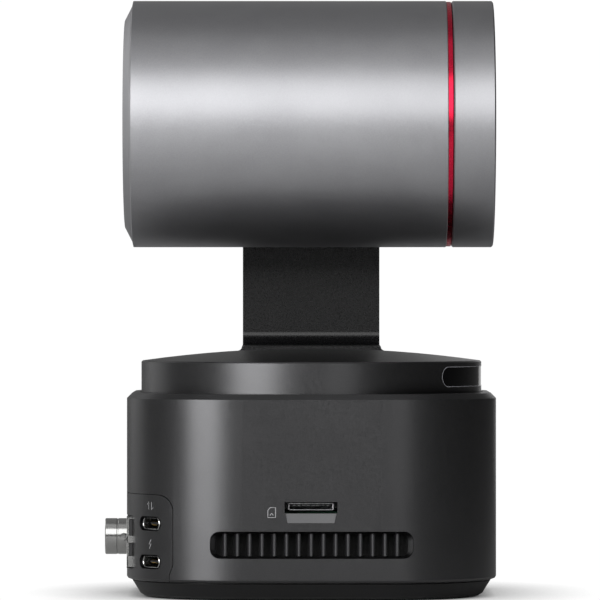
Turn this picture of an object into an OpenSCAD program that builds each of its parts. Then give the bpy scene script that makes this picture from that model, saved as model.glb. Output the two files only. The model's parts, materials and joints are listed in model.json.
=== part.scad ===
// Pan-tilt-zoom camera: a rounded-square base, a turntable with an arm on one side,
// and a cylindrical head whose front module rolls for upright framing.
// +X is the way the lens looks, +Z is up, and the origin is the mouth of the tripod thread.

/* [Base] */
// Half width of the rounded-square base
base_half = 49.1; // [46:0.1:52]
// Corner radius of the base in plan
corner_r = 31; // [26:0.5:36]
// Height of the base's top face
base_top = 53.7; // [50:0.1:60]
// Height at which the base's wall begins
base_low = 4.3; // [4:0.1:5]
// Chamfer between the base's wall and its top
shoulder = 1.4; // [0.8:0.1:2]
// Wall thickness of the base's casing
wall = 2.0; // [1.6:0.1:2.4]

/* [Turntable] */
// Radius of the turntable's rim
table_r = 45.7; // [43:0.1:46]
// Height of the rim's upper edge
table_rim = 62.1; // [61:0.1:64]
// Height of the slightly domed top's middle
table_apex = 65.3; // [64.5:0.1:66]
// Half angle that the status window spans
window_half = 41; // [20:1:60]
// Height of the status window
window_h = 5.4; // [3:0.1:6]

/* [Arm] */
// Width of the arm
arm_w = 37.5; // [34:0.5:40]
// Distance from the pan axis to the arm's inner face
arm_y = 34.6; // [34:0.1:36]
// Radius of the arm's outer face about the pan axis
arm_out_r = 45.9; // [44:0.1:48]
// Radius of the fillet between the arm's foot and its upright
arm_fillet = 3.5; // [3:0.5:6]

/* [Head] */
// Height of the tilt axis
tilt_z = 125.6; // [125:0.1:130]
// Radius of the head
head_r = 33.1; // [32:0.1:33.4]
// Where the barrel's rear edge lies
head_back = 47.8; // [44:0.1:48]
// Where the barrel meets the accent ring
head_front = 36.2; // [34:0.1:37]
// Where the front module begins
front_start = 37.5; // [37:0.1:38]
// Where the front module ends
front_end = 48.7; // [46:0.1:49]
// Depth of the bevelled rear cap
cap_depth = 2.25; // [1:0.05:3]

/* [Travel] */
// How far the zoom group is drawn along its rods, from rest
zoom_at = 0; // [0:0.5:10]
// How far the focus group is drawn along its rods, from rest
focus_at = 0; // [0:0.5:5]

/* [Ports] */
// Height of the BNC jack's axis
bnc_z = 14.8; // [12:0.1:16]
// Radius of the BNC jack's barrel
bnc_r = 4.83; // [4.8:0.01:4.86]
// Height of the upper USB-C port
usb_data_z = 19.55; // [19:0.05:21]
// Height of the lower USB-C port
usb_power_z = 9.5; // [9:0.1:11]
// Height of the vent's middle
vent_z = 14.35; // [13:0.05:16]
// Number of louvres in each vent
vent_fins = 15; // [9:1:17]
// Pitch of the louvres
vent_pitch = 3.215; // [3:0.005:3.3]

/* [Hidden] */
$fn = 96;
eps = 0.01;
vent_w = 53.2;
vent_h = 7.1;
flat_half = base_half - corner_r;
inner_top = base_top - 2.5;
well_z = base_top - 1.0;
well_r = table_r + 0.4;
skirt_z = well_z + 0.4;
hub_z = 37;
hub_r = 17;
shaft_r = 9;
run = 0.05;
board_t = 1.5;
motor_len = 6;
pad_at = 38;
pad_size = [24, 7];
pad_drop = 0.3;
insert_r = 4.8;
insert_flange_r = 7;
thread_r = 2.6;
post_r = 3.2;
screw_r = 1.25;
arm_half = arm_w / 2;
foot_start = [4, table_apex + 0.4];
foot_slope = 0.01;
channel_y = 38.4;
channel_r = 1.9;
window_z = 58;
cover_y = 40.5;
panel_x = 36.3;
panel_top = 27.3;
panel_corner = 4.2;
seam = 0.15;
usb_face = 60;
usb_angle = 52.8;
usb_w = 8.94;
usb_h = 3.26;
usb_len = 7.3;
usb_recess = 0.6;
usb_gap = 0.25;
button_angle = 50;
button_z = 16;
posts = [[33, 33], [33, -33], [-22, 38], [-22, -38]];
card_z = 22.9;
card_x = -0.2;
card_mouth_w = 13.8;
ramp_depth = 0.8;
card_w = 12;
vent_r = 2.5;
fin_lean = 8;
board_z = 21.4;
jack_y = 16;
jack_z = 20.5;
jack_r = 1.75;
jack_nose_r = 3;
hdmi_y = 16.5;
hdmi_z = 10.3;
hdmi_w = 15;
hdmi_h = 5.6;
sheet = 0.4;
rj45_at = [-48.9, -28, 7.45];
rj45_size = [20, 16, 13.7];
bnc_tip = 55.4;
bnc_bore = 4.06;
bnc_pin_r = 1.1;
nut_r = 5.5;
lug_r = 1;
lug_at = 50.3;
lug_span = 11.6;
fan_x = 27;
fan_size = 30;
lens_r = 22;
bore_r = 19.5;
rod_at = 16.6;
rod_r = 0.8;
head_wall = 2.1;
glass_z = 46.5;
roll_motor_z = 20.5;
roll_motor_len = 5;

// ---- Shapes that several pieces share ----

// A rounded-square block. Each point of p is [how far in from the wall, height].
module block(p) {
    z0 = p[0][1];
    z1 = p[len(p) - 1][1];
    for (k = [0:3]) rotate([0, 0, 90 * k]) translate([flat_half, flat_half, 0])
        rotate_extrude(angle = 90)
            polygon(concat([[0, z0]], [for (q = p) [corner_r - q[0], q[1]]], [[0, z1]]));
    for (k = [0, 90]) rotate([0, 0, k]) translate([0, flat_half, 0]) rotate([90, 0, 0])
        linear_extrude(2 * flat_half)
            polygon(concat([for (q = p) [base_half - q[0], q[1]]],
                [for (i = [len(p) - 1:-1:0]) [p[i][0] - base_half, p[i][1]]]));
}

// A disc or tube along Z, from z0 to z1
module tube(r, hole, z0, z1) {
    translate([0, 0, z0]) difference() {
        cylinder(r = r, h = z1 - z0);
        translate([0, 0, -1]) cylinder(r = hole, h = z1 - z0 + 2);
    }
}

// Turns a Z-based shape so that its Z runs along +X at the head's axis
module along_head() {
    translate([0, 0, tilt_z]) rotate([0, 90, 0]) children();
}

// A rectangle with round corners, centred
module round_rect(w, h, r) {
    square([w - 2 * r, h], center = true);
    square([w, h - 2 * r], center = true);
    for (x = [-1, 1], y = [-1, 1]) translate([x * (w / 2 - r), y * (h / 2 - r)]) circle(r = r);
}

// A slot shape with round ends, centred
module stadium(w, h) {
    square([w - h, h], center = true);
    for (x = [-1, 1]) translate([x * (w - h) / 2, 0]) circle(r = h / 2);
}

// Puts a shape on the rear corner, with the shape's +Z pointing out and its +Y up.
// angle is where on the corner it sits and face is the way it looks, both from the side.
module on_corner(angle, face, z, side, depth = 0) {
    reach = corner_r - depth;
    translate([-flat_half - reach * sin(angle), side * (flat_half + reach * cos(angle)), z])
        rotate([90, 0, side < 0 ? -face : 180 + face]) children();
}

// ---- Base casing ----

// Outline of the port panel, seen from the side, grown by g
module panel_outline(g = 0) {
    w = base_half + 5 - panel_x;
    difference() {
        translate([-base_half - 5, 0]) square([w + g, panel_top + g]);
        translate([-panel_x - panel_corner + g, panel_top - panel_corner + g])
            difference() {
                square(panel_corner + eps);
                circle(r = panel_corner);
            }
        polygon([[-panel_x + g + eps, -eps], [-panel_x + g - 1, -eps],
            [-panel_x + g - 1, 6.2], [-panel_x + g + eps, 8.8]]);
    }
}

module panel_block(g = 0) {
    translate([0, base_half + 1, 0]) rotate([90, 0, 0]) linear_extrude(2 * base_half + 2)
        panel_outline(g);
}

module outer_block() {
    block([[1.1, base_low], [0.3, base_low + 0.3], [0, base_low + 0.8],
        [0, base_top - shoulder], [shoulder, base_top]]);
}

module inner_block() {
    block([[wall, base_low - 1], [wall, inner_top]]);
}

module vent_hole(side) {
    translate([0, side * (base_half + 1), vent_z]) rotate([side > 0 ? 90 : -90, 0, 0])
        linear_extrude(wall + 5) round_rect(vent_w, vent_h, vent_r);
}

// The card slot's mouth: its lower part is a steep ramp, narrower at its foot, that leads in
module card_mouth() {
    half = card_mouth_w / 2;
    inside = -base_half + wall + 0.5;
    translate([card_x - half, -base_half - 1, card_z - 0.2]) cube([card_mouth_w, wall + 3, 2.95]);
    intersection() {
        translate([card_x - half, 0, 0]) rotate([90, 0, 90]) linear_extrude(card_mouth_w)
            polygon([[-base_half - 1, card_z - 3.1], [-base_half, card_z - 2.75],
                [-base_half + ramp_depth, card_z - 0.3], [inside, card_z - 0.2],
                [inside, card_z + 1], [-base_half - 1, card_z + 1]]);
        translate([card_x, inside + 1, card_z]) rotate([90, 0, 0]) linear_extrude(wall + 4)
            polygon([[-half, 1], [half, 1], [half - 0.9, -3.3], [0.9 - half, -3.3]]);
    }
}

module base_shell() {
    color("#67676a") difference() {
        union() {
            difference() {
                outer_block();
                inner_block();
            }
            tube(hub_r + 2, hub_r, hub_z, inner_top + 0.5);
            for (p = posts) translate([p[0], p[1], 6]) cylinder(r = post_r, h = inner_top - 5.5);
        }
        translate([0, 0, well_z]) cylinder(r = well_r, h = 5);
        translate([0, 0, inner_top - 1]) cylinder(r = 14.5, h = 5);
        for (p = posts) translate([p[0], p[1], 5]) cylinder(r = screw_r, h = 10);
        for (side = [-1, 1]) vent_hole(side);
        card_mouth();
        panel_block(0);
    }
}

module bottom_cover() {
    color("#19191b") difference() {
        union() {
            difference() {
                block([[4.6, 0], [3.6, 0.6], [1.5, 4.0], [wall + 0.15, 4.0], [wall + 0.15, 6.3]]);
                block([[wall + 2.4, 2.0], [wall + 2.4, 7]]);
            }
            translate([0, 0, 1.9]) cylinder(r = 8, h = 7.1);
            for (p = posts) translate([p[0], p[1], 1.9]) cylinder(r = 4.5, h = 4.1);
        }
        translate([0, 0, -1]) cylinder(r = insert_flange_r, h = 3);
        translate([0, 0, 1.5]) cylinder(r = insert_r, h = 9);
        for (p = posts) translate([p[0], p[1], 0]) {
            translate([0, 0, -1]) cylinder(r = 3, h = 4);
            translate([0, 0, 2]) cylinder(r = 1.5, h = 5);
        }
        for (k = [0:3]) rotate([0, 0, 90 * k]) translate([0, -pad_at, -1]) linear_extrude(2)
            stadium(pad_size[0], pad_size[1]);
    }
}

module rubber_feet() {
    color("#141414") for (k = [0:3]) rotate([0, 0, 90 * k]) translate([0, -pad_at, -pad_drop])
        linear_extrude(1 + pad_drop) stadium(pad_size[0], pad_size[1]);
}

module tripod_insert() {
    color("#b8a468") difference() {
        union() {
            cylinder(r = insert_flange_r, h = 2);
            translate([0, 0, 1]) cylinder(r = insert_r, h = 9);
        }
        translate([0, 0, -1]) cylinder(r = thread_r, h = 9);
    }
}

module base_screws() {
    color("#9a9a9a") for (p = posts) translate([p[0], p[1], 0])
        difference() {
            union() {
                translate([0, 0, 1.4]) cylinder(r = 2.7, h = 1.6);
                translate([0, 0, 2.5]) cylinder(r = screw_r, h = 9.5);
            }
            translate([0, 0, 1]) cylinder(r = 1.2, h = 1.3, $fn = 6);
        }
}

// ---- Port panel and its connectors ----

module usb_place(z) {
    on_corner(usb_angle, usb_face, z, -1) children();
}

module io_panel() {
    color("#666669") difference() {
        intersection() {
            difference() {
                outer_block();
                inner_block();
            }
            panel_block(-seam);
        }
        along_x(0, bnc_z) translate([0, 0, -base_half - 1]) cylinder(r = nut_r + 0.1, h = 5);
        translate([-base_half - 1, rj45_at[1] - 0.2, rj45_at[2] - 0.2])
            cube([6, rj45_size[1] + 0.4, rj45_size[2] + 0.4]);
        translate([-base_half + 2, hdmi_y, hdmi_z]) cube([6, hdmi_w + 0.6, hdmi_h + 0.6], center = true);
        along_x(jack_y, jack_z) translate([0, 0, -base_half - 1]) cylinder(r = jack_nose_r + 0.1, h = 5);
        for (z = [usb_data_z, usb_power_z]) usb_place(z) translate([0, 0, -4]) linear_extrude(6)
            stadium(usb_w + 2 * usb_gap, usb_h + 2 * usb_gap);
        on_corner(button_angle, button_angle, button_z, 1) translate([0, 0, -4])
            cylinder(r = 4.1, h = 6);
    }
}

module along_x(y, z) {
    translate([0, y, z]) rotate([0, 90, 0]) children();
}

module bnc_body() {
    color("#d9d9d6") along_x(0, bnc_z) difference() {
        union() {
            translate([0, 0, -bnc_tip]) cylinder(r = bnc_r, h = 8);
            translate([0, 0, -49.4]) cylinder(r = nut_r, h = 1.2);
            translate([0, 0, -48.3]) cylinder(r = 4.6, h = 13);
            translate([0, 0, -lug_at]) rotate([90, 0, 0]) cylinder(r = lug_r, h = lug_span, center = true);
        }
        translate([0, 0, -bnc_tip - 1]) cylinder(r = bnc_bore, h = 11.4);
    }
}

module bnc_insulator() {
    color("#f0efe9") along_x(0, bnc_z) difference() {
        translate([0, 0, -51]) cylinder(r = 2.4, h = 6);
        translate([0, 0, -52]) cylinder(r = bnc_pin_r, h = 8);
    }
    color("#f0efe9") along_x(0, bnc_z) tube(bnc_bore, bnc_pin_r, -46.5, -45);
}

module bnc_contact() {
    color("#d8b24a") along_x(0, bnc_z) difference() {
        translate([0, 0, -50.6]) cylinder(r = bnc_pin_r, h = 5.6);
        translate([0, 0, -51.6]) cylinder(r = 0.7, h = 4);
    }
}

module rj45_shield() {
    color("#cfcfcc") difference() {
        translate(rj45_at) cube(rj45_size);
        translate(rj45_at + [-1, sheet, sheet]) cube(rj45_size + [1 - sheet, -2 * sheet, -2 * sheet]);
    }
}

module rj45_insert() {
    color("#1c1c1e") difference() {
        translate(rj45_at + [0.5, sheet, sheet])
            cube(rj45_size + [-0.5 - sheet, -2 * sheet, -2 * sheet]);
        translate(rj45_at + [-1.1, 2.1, 2.5]) cube([14, 11.8, 6.9]);
        translate(rj45_at + [-1.1, 4.8, 1.9]) cube([13, 6.4, 9.9]);
    }
}

module hdmi_shell() {
    color("#cfcfcc") translate([0, hdmi_y, hdmi_z]) difference() {
        translate([-42.7, 0, 0]) cube([12, hdmi_w, hdmi_h], center = true);
        translate([-44, 0, 0]) cube([12, hdmi_w - 2 * sheet, hdmi_h - 2 * sheet], center = true);
    }
}

module hdmi_tongue() {
    color("#161617") translate([0, hdmi_y, hdmi_z]) {
        translate([-47.2, -5.6, -0.2]) cube([8.4, 11.2, 1.4]);
        translate([-38.75, 0, 0]) cube([1.5, hdmi_w - 2 * sheet, hdmi_h - 2 * sheet], center = true);
    }
}

module usb_shells() {
    color("#d4d4d2") for (z = [usb_data_z, usb_power_z]) usb_place(z)
        translate([0, 0, -usb_len - usb_recess]) difference() {
            linear_extrude(usb_len) stadium(usb_w, usb_h);
            translate([0, 0, 1]) linear_extrude(usb_len) stadium(usb_w - 0.6, usb_h - 0.6);
        }
}

module usb_tongues() {
    color("#161617") for (z = [usb_data_z, usb_power_z]) usb_place(z)
        translate([-3.3, -0.35, -usb_len - usb_recess + 1]) cube([6.6, 0.7, 5.6]);
}

module audio_jack() {
    color("#202022") along_x(jack_y, jack_z) difference() {
        union() {
            translate([0, 0, -base_half]) cylinder(r = jack_nose_r, h = 14);
            translate([-3.5, -3.5, -base_half + wall + 0.3]) cube([7, 7, 11]);
        }
        translate([0, 0, -base_half - 1]) cylinder(r = jack_r, h = 14);
    }
}

module power_button() {
    color("#2a2a2c") on_corner(button_angle, button_angle, button_z, 1) {
        translate([0, 0, -3.2]) cylinder(r = 3.8, h = 3.1);
        translate([0, 0, -3.7]) cylinder(r = 4.7, h = 0.9);
    }
}

module card_socket() {
    color("#c8c8c5") difference() {
        translate([card_x - card_w / 2, -46.4, card_z + 0.5]) cube([card_w, 12.5, 1.9]);
        translate([card_x - card_w / 2 + sheet, -47, card_z + 0.8]) cube([card_w - 2 * sheet, 12, 1.0]);
    }
}

// ---- Vents, boards and cooling ----

// Everything at least d inside the base's wall
module inside_wall(d) {
    block([[d, base_low], [d, base_top]]);
}

// A slab behind the vent's mouth, from depth d0 to depth d1 below the flat of the wall
module vent_slab(side, d0, d1, w, h, r) {
    translate([0, side * (base_half - d0), vent_z]) rotate([side > 0 ? 90 : -90, 0, 0])
        linear_extrude(d1 - d0) round_rect(w, h, r);
}

module vent_grille(side) {
    first = -(vent_fins - 1) / 2 * vent_pitch;
    color("#2b2b2d") {
        intersection() {
            inside_wall(0.3);
            difference() {
                vent_slab(side, 0, 4.2, vent_w - 0.2, vent_h - 0.2, 2.4);
                vent_slab(side, -1, 5, vent_w - 2.8, vent_h - 1.2, 1.6);
            }
        }
        intersection() {
            inside_wall(0.9);
            for (i = [0:vent_fins - 1])
                translate([first + i * vent_pitch, side * (base_half - 0.9), vent_z])
                    rotate([0, 0, -side * fin_lean]) translate([0, -side * 1.6, 0])
                    cube([0.85, 3.2, vent_h - 0.9], center = true);
        }
    }
}

module dust_filters() {
    color("#101011") for (side = [-1, 1]) vent_slab(side, 4.7, 5.3, vent_w - 3, vent_h + 2, 1.6);
}

module vent_grille_right() {
    vent_grille(-1);
}

module vent_grille_left() {
    vent_grille(1);
}

module io_board() {
    color("#1d4a34") translate([-40, -29, 5.85]) cube([26, 56, board_t + 0.05]);
}

module usb_board() {
    color("#1d4a34") usb_place(14.9) translate([-4.5, -7.2, -usb_len - usb_recess - board_t])
        cube([9, 15.4, board_t]);
}

module main_board() {
    color("#1d4a34") translate([-17, -42, board_z]) cube([45, 81.5, board_t]);
}

module heat_sink() {
    color("#b4b6b8") {
        translate([-15, -18, board_z + board_t]) cube([36, 36, 2.5]);
        for (i = [0:8]) translate([-15 + i * 4.35, -18, board_z + 3.9]) cube([1.2, 36, 8]);
    }
}

module fan_frame() {
    color("#232325") difference() {
        translate([fan_x - fan_size / 2, -fan_size / 2, 2]) cube([fan_size, fan_size, 10]);
        translate([fan_x, 0, 3.2]) cylinder(r = 13.8, h = 10);
        for (x = [-1, 1], y = [-1, 1]) translate([fan_x + x * 12.5, y * 12.5, 0])
            cylinder(r = 1.4, h = 15);
    }
    color("#232325") translate([fan_x, 0, 3.2]) cylinder(r = 0.9, h = 7);
}

module fan_rotor() {
    color("#3a3a3e") translate([fan_x, 0, 0]) {
        tube(6, 0.95, 3.8, 11.2);
        for (k = [0:6]) rotate([0, 0, k * 360 / 7]) translate([5.5, 0, 4.4])
            rotate([32, 0, 0]) translate([0, -1.2, 0]) cube([7.0, 1.0, 6.4]);
    }
}

// ---- Pan drive ----

module pan_stator() {
    color("#a86a3a") tube(hub_r, 10.7, hub_z + 0.5, hub_z + 0.5 + motor_len);
}

module pan_bearing() {
    color("#c4c4c6") tube(hub_r, shaft_r + run, hub_z + 7.5, inner_top - 1.2);
}

module pan_rotor() {
    color("#8a8c90") tube(10.3, shaft_r, hub_z + 0.5, hub_z + 0.5 + motor_len);
}

module pan_shaft() {
    color("#bcbec2") tube(shaft_r, 6, hub_z - 1, table_rim - 0.5);
}

// ---- Turntable ----

// Height of the domed top at distance r from the axis
function dome(r) = table_apex - (table_apex - table_rim) * pow(r / (table_r - 0.35), 2);

// The turntable's whole outer form, sunk by drop and drawn in by the same amount
module domed_body(drop) {
    steps = 8;
    reach = table_r - 0.35 - drop;
    rotate_extrude() polygon(concat([[0, skirt_z], [table_r - drop, skirt_z],
        [table_r - drop, table_rim - 0.35 - drop]],
        [for (i = [steps:-1:0]) [reach * i / steps, dome(reach * i / steps) - drop]]));
}

// A band of the rim, from radius r0 to r1, with round ends, that spans the window's angle
module window_band(r0, r1, h) {
    end_angle = window_half - asin(h / 2 / table_r);
    intersection() {
        tube(r1, r0, window_z - h, window_z + h);
        union() {
            rotate([0, 0, -end_angle]) rotate_extrude(angle = 2 * end_angle)
                translate([r0 - 5, window_z - h / 2]) square([15, h]);
            for (a = [-1, 1]) rotate([0, 0, a * end_angle]) translate([r0 - 5, 0, window_z])
                rotate([0, 90, 0]) cylinder(r = h / 2, h = 15);
        }
    }
}

module turntable_shell() {
    color("#5c5c5f") difference() {
        union() {
            difference() {
                domed_body(0);
                translate([0, 0, -eps]) domed_body(2.2);
            }
            translate([0, 0, skirt_z + 3]) cylinder(r = 13, h = 8.5);
        }
        translate([0, 0, skirt_z - 1]) cylinder(r = shaft_r, h = table_rim + 0.5 - skirt_z);
        window_band(table_r - 1.4, table_r + 1, window_h);
        translate([0, channel_y, skirt_z]) cylinder(r = channel_r, h = 20);
    }
}

module status_window() {
    color("#08080a") window_band(table_r - 1.35, table_r - 0.08, window_h - 0.1);
}

module status_light_board() {
    color("#e6e6e2") rotate([0, 0, -35]) rotate_extrude(angle = 70)
        translate([table_r - 3.4, window_z - 2.2]) square([0.8, 3.4]);
}

// ---- Arm ----

function foot_height(y) = foot_start[1] + foot_slope * (y - foot_start[0]);

// The foot and the lower part of the upright, seen along X
module arm_side() {
    fy = arm_y - arm_fillet;
    fz = foot_height(fy) + arm_fillet * sqrt(1 + foot_slope * foot_slope);
    lean = atan(foot_slope);
    difference() {
        polygon([[foot_start[0], skirt_z], foot_start, [fy + arm_fillet * sin(lean), foot_height(fy)],
            [fy, fz], [arm_y, fz], [arm_y, tilt_z - 30], [arm_out_r, tilt_z - 30],
            [arm_out_r, skirt_z + 8], [arm_y, skirt_z + 8]]);
        translate([fy, fz]) circle(r = arm_fillet);
    }
}

// The upright's outline, seen along Y, drawn in by g
module arm_face(g, low) {
    translate([-arm_half + g, low]) square([arm_w - 2 * g, tilt_z - low]);
    translate([0, tilt_z]) circle(r = arm_half - g);
}

// The upright's outline carried along Y, from y0 to y1
module upright(g, low, y0, y1) {
    translate([0, y1, 0]) rotate([90, 0, 0]) linear_extrude(y1 - y0) arm_face(g, low);
}

module arm_limits() {
    translate([0, 0, skirt_z]) cylinder(r = arm_out_r, h = 110);
}

module arm_shell() {
    color("#262629") difference() {
        intersection() {
            union() {
                translate([-arm_half, 0, 0]) rotate([90, 0, 90]) linear_extrude(arm_w) arm_side();
                upright(0, 80, arm_y, cover_y);
            }
            arm_limits();
        }
        domed_body(0);
        translate([-arm_half - 1, cover_y, 72]) cube([arm_w + 2, 20, 90]);
        upright(2.4, 76, arm_y + 1.8, cover_y + 1);
        translate([0, arm_y - 1, tilt_z]) rotate([-90, 0, 0]) cylinder(r = 10, h = 5);
        translate([0, channel_y, skirt_z]) cylinder(r = channel_r, h = 24);
    }
}

module arm_cover() {
    color("#262629") difference() {
        intersection() {
            upright(0, 72.15, cover_y + 0.1, arm_out_r + 2);
            arm_limits();
        }
        upright(4.5, 76, cover_y - 1, cover_y + 2.2);
    }
}

module along_arm() {
    translate([0, 0, tilt_z]) rotate([-90, 0, 0]) children();
}

module tilt_bearing() {
    color("#c4c4c6") along_arm() tube(10, 7.55, arm_y + 0.2, arm_y + 3.8);
}

module tilt_stator() {
    color("#a86a3a") along_arm() tube(13.6, 9.1, arm_y + 4.4, cover_y + 1.9);
}

// ---- Head ----

module head_barrel() {
    color("#8f8f92") difference() {
        along_head() difference() {
            rotate_extrude() polygon([[head_r - head_wall, -head_back - 0.35],
                [head_r - 1.5, -head_back - 0.35],
                [head_r, -head_back], [head_r, head_front - 0.2], [head_r - 0.2, head_front],
                [head_r - head_wall, head_front]]);
        }
        along_arm() translate([0, 0, 20]) cylinder(r = 8.2, h = 20);
    }
}

module rear_cap() {
    lip = -head_back - 0.36;
    color("#8f8f92") along_head() rotate_extrude() polygon([[0, -head_back - cap_depth],
        [head_r - 5.2, -head_back - cap_depth], [head_r - 1.55, lip - 0.04], [head_r - 1.55, lip],
        [head_r - 2.2, lip], [head_r - 2.2, lip + 4], [head_r - 4, lip + 4], [head_r - 4, lip + 0.9],
        [0, lip + 0.9]]);
}

module accent_ring() {
    color("#cf304c") along_head() rotate_extrude() polygon([[head_r - 3.4, front_start - 0.1],
        [head_r - 0.2, front_start - 0.1], [head_r - 0.2, head_front + 0.02],
        [head_r - 2.2, head_front + 0.02], [head_r - 2.2, head_front - 3], [head_r - 3.4, head_front - 3]]);
}

module tilt_hub() {
    color("#9a9ca0") along_arm() {
        tube(7.5, 4.5, 25.4, cover_y + 1.9);
        tube(11, 4.5, 25.4, 27.4);
    }
}

module tilt_rotor() {
    color("#8a8c90") along_arm() tube(8.8, 7.5, arm_y + 4.4, cover_y + 1.9);
}

module head_frame() {
    color("#a9abae") {
        along_head() difference() {
            tube(head_r - head_wall, lens_r + 2, 17, 19);
            for (a = [45:90:315]) rotate([0, 0, a]) translate([27.5, 0, 16]) cylinder(r = 1.3, h = 4);
        }
        difference() {
            translate([-14, 23.3, tilt_z - 12.5]) cube([31.2, 2.1, 25]);
            along_arm() translate([0, 0, 20]) cylinder(r = 4.5, h = 8);
        }
    }
}

module head_board() {
    color("#1d4a34") along_head() difference() {
        translate([0, 0, -34]) cylinder(r = 28, h = 1.5);
        for (a = [45:90:315]) rotate([0, 0, a]) translate([24.5, 0, -35]) cylinder(r = 1.3, h = 4);
    }
}

module roll_stator() {
    color("#a86a3a") along_head()
        tube(head_r - head_wall, lens_r + 1.8, roll_motor_z, roll_motor_z + roll_motor_len);
}

module roll_bearing() {
    color("#c4c4c6") along_head() tube(head_r - head_wall, lens_r + 4 + run, 26.5, 32.5);
}

// ---- Rolling front module ----

module front_ring() {
    color("#8f8f92") along_head() rotate_extrude() polygon([[lens_r, front_start + 0.15],
        [head_r - 0.35, front_start + 0.15], [head_r, front_start + 0.5], [head_r, front_end - 0.35],
        [head_r - 0.35, front_end], [head_r - 2.2, front_end], [head_r - 2.9, front_end - 0.7],
        [head_r - 2.9, front_start + 2], [lens_r, front_start + 2]]);
}

module lens_barrel() {
    color("#1b1b1d") along_head() rotate_extrude() polygon([[bore_r, -14], [lens_r, -14], [lens_r, 26.2],
        [lens_r + 4, 26.2], [lens_r + 4, 35.5], [lens_r, 35.5], [lens_r, 43.5], [bore_r, 43.5]]);
}

module front_bezel() {
    color("#111113") along_head() rotate_extrude() polygon([[17.5, 45.2], [17.5, 44.0], [18.2, 43.5],
        [head_r - 3, 43.5], [head_r - 3, 46.4], [head_r - 4.4, 46.4], [22, 44.6]]);
}

module front_glass() {
    color("#0b0d12") along_head() translate([0, 0, glass_z]) cylinder(r = head_r - 3, h = 1.3);
}

// A lens of radius r with its rear edge at z0, thickness t at the axis and bulge b on each side
module lens(r, z0, t, b) {
    steps = 8;
    rise = function(u) b * (1 - u * u);
    rotate_extrude() translate([0, z0]) polygon(concat(
        [for (i = [0:steps]) [r * i / steps, b - rise(i / steps)]],
        [for (i = [steps:-1:0]) [r * i / steps, t - b + rise(i / steps)]]));
}

module front_lens() {
    color("#2a3550") along_head() lens(17.3, 37, 7.2, 2.6);
}

module sensor_board() {
    color("#1d4a34") along_head() {
        translate([0, 0, -15.6]) cylinder(r = lens_r - 1, h = 1.55);
        translate([-7, -7, -14.1]) cube([14, 14, 1.2]);
    }
}

module guide_rods() {
    color("#d0d0d2") along_head() for (a = [0, 180]) rotate([0, 0, a])
        translate([rod_at, 0, -14]) cylinder(r = rod_r, h = 49.5);
}

module roll_rotor() {
    color("#8a8c90") along_head() tube(lens_r + 1.4, lens_r, roll_motor_z, roll_motor_z + roll_motor_len);
}

// A ring that slides on the guide rods, from z0 to z1, with a seat for a lens of radius r
module carrier(z0, z1, r) {
    difference() {
        tube(bore_r - 0.5, r, z0, z1);
        for (a = [0, 180]) rotate([0, 0, a]) translate([rod_at, 0, z0 - 1])
            cylinder(r = rod_r + 0.06, h = z1 - z0 + 2);
    }
}

module zoom_carrier() {
    color("#2a2a2d") along_head() carrier(12 + zoom_at, 18 + zoom_at, 13);
}

module zoom_lens() {
    color("#3a4668") along_head() lens(13, 12.4 + zoom_at, 5.2, 1.7);
}

module focus_carrier() {
    color("#2a2a2d") along_head() carrier(-6 + focus_at, -1 + focus_at, 12);
}

module focus_lens() {
    color("#3a4668") along_head() lens(12, -5.6 + focus_at, 4.2, 1.4);
}

base_shell();
bottom_cover();
rubber_feet();
tripod_insert();
base_screws();
io_panel();
bnc_body();
bnc_insulator();
bnc_contact();
rj45_shield();
rj45_insert();
hdmi_shell();
hdmi_tongue();
usb_shells();
usb_tongues();
audio_jack();
power_button();
card_socket();
vent_grille_right();
vent_grille_left();
dust_filters();
io_board();
usb_board();
main_board();
heat_sink();
fan_frame();
fan_rotor();
pan_stator();
pan_bearing();
turntable_shell();
status_window();
status_light_board();
arm_shell();
arm_cover();
pan_rotor();
pan_shaft();
tilt_stator();
tilt_bearing();
head_barrel();
rear_cap();
accent_ring();
tilt_hub();
tilt_rotor();
head_frame();
head_board();
roll_stator();
roll_bearing();
front_ring();
front_bezel();
front_glass();
lens_barrel();
front_lens();
sensor_board();
guide_rods();
roll_rotor();
zoom_carrier();
zoom_lens();
focus_carrier();
focus_lens();
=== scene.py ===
# %% [markdown]
# # A pan-tilt-zoom camera, finished around its CAD model
# The engineering is already done elsewhere: every casing, shaft and socket comes in as a
# fixed frame, in metres, standing where it belongs. This lesson gives it its looks: the
# satin metal, the glossy red line, the sockets' nickel, and the small forms that a CAD
# model leaves plain. Nothing from the frame is moved or resized.

import json
import math

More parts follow.
